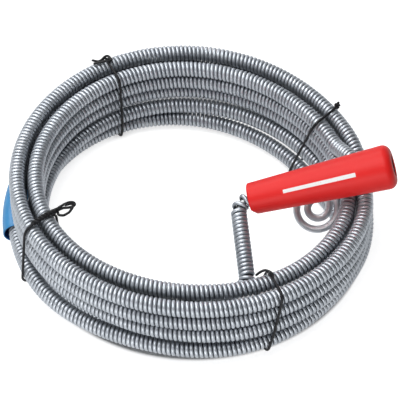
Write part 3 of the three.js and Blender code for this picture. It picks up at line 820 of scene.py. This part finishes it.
def sleeve_mesh():
    """A thin tube whose section leans very slightly out of round and whose ends have a soft edge."""
    z = TOP_Z - SLEEVE_PASS_LAYER * LAYER_PITCH - SLEEVE_PASS_DROP
    a = np.radians(np.linspace(SLEEVE_FROM, SLEEVE_TO, 90))
    r = sleeve_circle(a, SLEEVE_PASS_R + SLEEVE_HANG)
    line = np.stack([r * np.cos(a), r * np.sin(a), np.full_like(a, z)], axis=-1)
    t, u, v = frames_along(line)
    ring = around(SLEEVE_SIDES)
    last = len(line) - 1
    soft, proud = SLEEVE_EDGE * 0.3, SLEEVE_EDGE * 0.6
    # Each row: its place along the tube, radius, how far it stands out of the end, how far it is inside.
    rows = [(i, SLEEVE_R, 0, 0) for i in range(len(line))]
    rows += [(last, SLEEVE_R - soft, proud, 0), (last, SLEEVE_BORE_R + soft, proud, 0.5)]
    rows += [(i, SLEEVE_BORE_R, 0, 1) for i in range(last, -1, -1)]
    rows += [(0, SLEEVE_BORE_R + soft, -proud, 0.5), (0, SLEEVE_R - soft, -proud, 0)]
    verts = []
    for i, radius, out, _ in rows:
        oval = 1 + SLEEVE_OVAL * np.cos(2 * ring + 0.6 + i * 0.01)
        spokes = u[i] * np.cos(ring)[:, None] + v[i] * np.sin(ring)[:, None]
        verts.append(line[i] + t[i] * out + spokes * (radius * oval)[:, None])
    inside = np.repeat([row[3] for row in rows], SLEEVE_SIDES)
    quads = grid_quads(len(rows), SLEEVE_SIDES, close_rows=True)
    return make_mesh("guide_tube", np.vstack(verts), quads, values={"inside": inside})


sleeve = dressed(sleeve_mesh(), BLUE)
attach(sleeve, "sleeve")
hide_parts("guide_sleeve")

# ---------------------------------------------------------------- the ties


def bundle_under(at, lean, droop):
    """The passes a tie holds, as (radius, height), each taken where the tie crosses it."""
    out = []
    for k in range(LAST_PASS + 1):
        if k == LAST_PASS and at > FEED_TO:
            continue
        rough = cable_at(k * 360 + at)[0]
        beyond = math.hypot(rough[0], rough[1]) - MIDDLE_R
        p = cable_at(k * 360 + at + lean * beyond + droop * (TOP_Z - rough[2]))[0]
        out.append((math.hypot(p[0], p[1]), p[2]))
    return out


def half_hull(dots):
    """One side of the convex hull of sorted dots, without its last point."""
    hull = []
    for p in dots:
        while len(hull) > 1:
            (ax, ay), (bx, by) = hull[-2], hull[-1]
            if (bx - ax) * (p[1] - ay) - (by - ay) * (p[0] - ax) > 0:
                break
            hull.pop()
        hull.append(p)
    return hull[:-1]


def taut_loop(at, lean, droop, start):
    """The tie pulled tight over its passes, as (radius, height) from the place nearest start."""
    dots = []
    for r, z in bundle_under(at, lean, droop):
        for b in around(TIE_HULL_SIDES):
            dots.append((r + TIE_REACH * math.cos(b), z + TIE_REACH * math.sin(b)))
    dots.sort()
    ring = np.array(half_hull(dots) + half_hull(dots[::-1]))
    first = int(np.argmin(np.hypot(ring[:, 0] - start[0], ring[:, 1] - start[1])))
    ring = np.roll(ring, -first, axis=0)
    ring = np.vstack([ring, ring[:1]])
    flat = np.column_stack([ring, np.zeros(len(ring))])
    line, _ = resampled(flat, TIE_LOOP_STEP)
    return line[:-1, :2]


class Tie:
    """One tie's places: the loop round the bundle and a local frame at its knot.

    It crosses the bundle at so many degrees, leaning as it goes outwards and drooping as it goes down,
    both in degrees for each millimetre. The knot is a radius and a height above the top passes.
    """

    def __init__(self, at, lean, droop, knot):
        self.at, self.lean, self.droop = at, lean, droop
        self.ring = self.world(taut_loop(at, lean, droop, (knot[0], TOP_Z + knot[1])))
        a = math.radians(at)
        self.out = np.array([math.cos(a), math.sin(a), 0])
        self.along = np.array([-self.out[1], self.out[0], 0])

    def world(self, flat):
        """Points from (radius, height) places in the tie's leaning section."""
        r, z = np.asarray(flat, float).T
        a = np.radians(self.at + self.lean * (r - MIDDLE_R) + self.droop * (TOP_Z - z))
        return np.stack([r * np.cos(a), r * np.sin(a), z], axis=-1)

    def local(self, steps, base=None):
        """Points from (outwards, along the cable, up) steps away from base, or from the loop's start."""
        base = self.ring[0] if base is None else base
        steps = np.asarray(steps, float)
        return base + steps[:, :1] * self.out + steps[:, 1:2] * self.along + steps[:, 2:] * UP


def eased(points, step, times):
    line, _ = resampled(np.asarray(points, float), step)
    return rounded_off(line, times)


def strand_round(line, radius, twists, phase):
    """A wire wound round a line."""
    t, u, v = frames_along(line)
    a = phase + np.linspace(0, 1, len(line)) * twists * 2 * math.pi
    return line + radius * (u * np.cos(a)[:, None] + v * np.sin(a)[:, None])


def tie_pieces(name, wires):
    """A tie's coating, and the steel core that shows at its cut ends."""
    for i, line in enumerate(wires):
        label = f"tie_{name}" if i == 0 else f"tie_{name}_strand_{i}"
        coat = dressed(tube(f"{label}_coat", line, TIE_R, 12, tip=0.18), BLACK)
        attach(coat, "coil")
        for end, (tip, before) in enumerate(((line[0], line[2]), (line[-1], line[-3]))):
            way = unit(tip - before)
            stub = np.array([tip - way * 1.2, tip, tip + way * 0.45])
            core = tube(f"{label}_core_{end + 1}", stub, TIE_CORE_R, 10, tip=0.08)
            dressed(core, TIE_STEEL)
            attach(core, "coil")
    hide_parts(f"tie_coat_{name}")
    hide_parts(f"tie_core_{name}")


left = Tie(204.8, 0.17, 0, (84, 6))
back_left = Tie(121.05, -0.05, 0, (99.5, 5))
back_right = Tie(31.6, 0.22, 0.24, (94, 5.5))
front = Tie(296.6, -0.056, -0.12, (82, 5))

# For each tie: its place, the loop's points it keeps, and the two ends from the loop outwards.
TIE_SHAPES = {
    "back_left": (
        back_left,
        slice(5, -3),
        [(-1.5, -2.1, 0.6), (0.4, -2.3, 1.2), (1.8, -1.4, 1.6), (1.9, 0.3, 1.1), (1.0, 2.7, 0.6)]
        + [(1.1, 4.6, 0.3), (2.5, 5.8, 0.1), (4.0, 7.0, 0)],
        [(0, -0.7, 0.6), (-0.8, -2.2, 1), (-1.9, -2.7, 0.6), (-2.9, -1, 1.2), (-1.9, 0.9, 1.6)]
        + [(-1.1, 3.4, 1.2), (0.2, 5.6, 0.6), (1, 7.8, 0.2)],
    ),
    "back_right": (
        back_right,
        slice(3, -6),
        [(-1.1, -0.7, 1.4), (-0.3, -0.2, 2.3), (0.4, -0.3, 2.9), (1.4, -0.2, 3.3)],
        [(0.6, -1.4, 0.7), (-0.5, -0.8, 1.6), (-1, 0.1, 2.3)]
        + [(-0.4, 0.2, 2.9), (0.1, -0.8, 2.7), (1, -1.8, 2.5)],
    ),
    "front": (
        front,
        slice(1, -10),
        [(1.1, -0.2, 1.2), (3.1, -0.1, 2.2), (4.9, -0.2, 2.6)]
        + [(5.2, -1.3, 3), (4.1, -1.6, 3.4), (3.6, -0.8, 3.6)],
        [(4.7, 0.6, 2.4), (3.2, 0.4, 2.9), (1.8, -0.5, 2.9)]
        + [(0.1, -1.8, 2.7), (-0.2, -4.2, 2.1), (0.4, -7, 1.6)],
    ),
}
for name, (tie, kept, first, last) in TIE_SHAPES.items():
    wire = np.vstack([tie.local(first)[::-1], tie.ring[kept], tie.local(last)])
    tie_pieces(name, [eased(wire, 0.4, 4)])


def left_tie():
    """The left tie is wound back over its own top and ends in a bow."""
    top = [(95.6, 5.9), (92.3, 6.4), (88.1, 6.6), (84.6, 6.5), (81.2, 6.0), (80.2, 5.7)]
    spine = eased(left.world([(r, TOP_Z + z) for r, z in top]), 0.35, 8)
    knot = spine[-1]
    upper = [(-1.2, -0.6, 1.1), (-4.8, -1.3, 1.5), (-7.9, -1.7, 1.3), (-10.1, -1.1, 0.9), (-10.5, 0.5, 0.5)]
    upper += [(-8.5, 1.1, 0.1), (-5.9, 0.5, -0.1), (-4.2, -0.3, -0.1), (-2.0, -0.3, -0.1), (0.4, 0.3, -0.1)]
    lower = [(0.6, 3.1, -0.3), (-1.9, 4.5, -0.5), (-5.5, 3.8, -0.3), (-8.3, 1.7, 0.1)]
    lower += [(-9.5, 0.1, 0.7), (-8.1, -0.4, 1.3), (-5, -0.4, 1.5)]
    wound = [strand_round(spine, 0.95, 2.6, 0.3 + k * 2 * math.pi / 3) for k in range(3)]
    wires = [
        eased(np.vstack([left.ring[2:-21], wound[0]]), 0.4, 3),
        eased(np.vstack([wound[1], left.local(upper, knot)]), 0.35, 5),
        eased(np.vstack([wound[2], left.local(lower, knot)]), 0.35, 5),
    ]
    tie_pieces("left", wires)


left_tie()

# ---------------------------------------------------------------- floor, light and camera


# How the card glows, so that it shows as white as a light box's does and its shadows stay faint.
GLOW_SEEN = 0.84
GLOW_MIRRORED = 0.38
# The ring that hides the card, as (heights, middle radius, half width), and how softly it ends. Where it
# hides the card, the glow is cut off to paint a shadow.
HIDDEN_RINGS = (((4, 10), 92.5, 3.5), ((16, 22, 28, 34, 40), 88.5, 5))
HIDDEN_FADE = 2

FLOOR_HALF_WIDTH = 3500
FLOOR_FRONT = -3000
FLOOR_BACK = 800
FLOOR_SWEEP = 900
FLOOR_TOP = 2600


def floor_material():
    """White card with a glow of its own, except where it is only seen through the coil's ring; there, and
    close to the parts, the glow is cut off as painted shadow.
    """
    m, tree, shader = new_material("floor", Metallic=0.0)
    tree.links.new(blend_colour(tree, noise(tree, 3, 3), *CARD_SHADES), shader.inputs["Base Color"])
    shader.inputs["Roughness"].default_value = 0.8
    path = node(tree, "ShaderNodeLightPath").outputs
    seen = maths(tree, "MULTIPLY", path["Is Camera Ray"], GLOW_SEEN)
    geometry = node(tree, "ShaderNodeNewGeometry").outputs
    place = node(tree, "ShaderNodeSeparateXYZ", None, i0=geometry["Position"]).outputs
    sight = node(tree, "ShaderNodeSeparateXYZ", None, i0=geometry["Incoming"]).outputs
    # Painted shadow: the glow is cut off where the line of sight passes through the ring.
    for heights, middle, half in HIDDEN_RINGS:
        for height in heights:
            # The radius at which the line of sight passes this height.
            reach = maths(tree, "DIVIDE", height * MM, sight["Z"])
            x, y = (maths(tree, "MULTIPLY_ADD", sight[axis], reach, place[axis]) for axis in "XY")
            r = maths(tree, "SQRT", maths(tree, "MULTIPLY_ADD", x, x, maths(tree, "MULTIPLY", y, y)))
            off = maths(tree, "ABSOLUTE", maths(tree, "SUBTRACT", r, middle * MM))
            clear = remap(tree, off, half * MM, (half + HIDDEN_FADE) * MM, 0, 1)
            seen = maths(tree, "MULTIPLY", seen, clear)
    mirrored = maths(tree, "MULTIPLY", path["Is Glossy Ray"], GLOW_MIRRORED)
    # Painted contact shadow: the glow fades close to the parts.
    near = node(tree, "ShaderNodeAmbientOcclusion", {"samples": 8}, Distance=10 * MM).outputs["AO"]
    both = maths(tree, "ADD", seen, mirrored)
    glow = maths(tree, "MULTIPLY", both, remap(tree, near, 0.1, 0.4, 0, 1))
    shader.inputs["Emission Color"].default_value = (1, 1, 1, 1)
    tree.links.new(glow, shader.inputs["Emission Strength"])
    return m


def floor():
    """A wide pale sheet that curves up behind."""
    sweep = arc((FLOOR_BACK, FLOOR_SWEEP), FLOOR_SWEEP, -90, 0, 9)
    rows = [(FLOOR_FRONT, 0)] + sweep + [(FLOOR_BACK + FLOOR_SWEEP, FLOOR_TOP)]
    verts = [(x, y, z) for y, z in rows for x in (-FLOOR_HALF_WIDTH, FLOOR_HALF_WIDTH)]
    obj = make_mesh("floor", verts, grid_quads(len(rows), 2, close_cols=False)[:, ::-1])
    obj.data.materials.append(floor_material())


def aimed(obj, place, target):
    d = np.array(target, float) - np.array(place, float)
    obj.location = tuple(np.array(place) * MM)
    flat = math.hypot(d[0], d[1])
    obj.rotation_euler = (math.atan2(flat, -d[2]), 0, math.atan2(d[1], d[0]) - math.pi / 2)


def area_light(name, place, target, width, height, power):
    data = bpy.data.lights.new(name, "AREA")
    data.shape = "RECTANGLE"
    data.size, data.size_y = width * MM, height * MM
    data.energy = power
    obj = bpy.data.objects.new(name, data)
    bpy.context.scene.collection.objects.link(obj)
    aimed(obj, place, target)


def world():
    """A studio room: pale low down and overhead, dark at the height of the camera, darker to the right."""
    w = bpy.data.worlds.new("studio")
    bpy.context.scene.world = w
    w.use_nodes = True
    tree = w.node_tree
    back = tree.nodes["Background"]
    direction = node(tree, "ShaderNodeTexCoord").outputs["Generated"]
    parts = node(tree, "ShaderNodeSeparateXYZ", None, i0=direction).outputs
    ramp = node(tree, "ShaderNodeValToRGB", None, Fac=parts["Z"])
    stops = ramp.color_ramp.elements
    stops[0].position, stops[0].color = 0.0, (0.44, 0.455, 0.475, 1)
    stops[1].position, stops[1].color = 1.0, (0.50, 0.52, 0.54, 1)
    for at, grey in ((0.18, 0.30), (0.4, 0.07), (0.8, 0.08)):
        stop = stops.new(at)
        stop.color = (grey, grey * 1.03, grey * 1.07, 1)
    tree.links.new(ramp.outputs["Color"], back.inputs["Color"])
    tree.links.new(remap(tree, parts["X"], -0.8, 0.8, 1.62, 0.26), back.inputs["Strength"])


def camera():
    data = bpy.data.cameras.new("camera")
    data.sensor_width = 36
    data.lens = LENS
    data.shift_x, data.shift_y = LENS_SHIFT
    data.clip_end = 20
    obj = bpy.data.objects.new("camera", data)
    bpy.context.scene.collection.objects.link(obj)
    aim = np.array([0, 0, TOP_Z])
    aimed(obj, aim + CAMERA_AWAY * TO_CAMERA, aim)
    bpy.context.scene.camera = obj


floor()
world()
area_light("key", (-330, -140, 1250), (0, 0, 20), 1300, 900, 13)
area_light("front", (-200, -1400, 200), (0, 0, 20), 1600, 380, 8)
area_light("fill", (-650, 850, 900), (0, 0, 30), 900, 500, 6)
camera()
bpy.context.scene.view_settings.view_transform = "Standard"
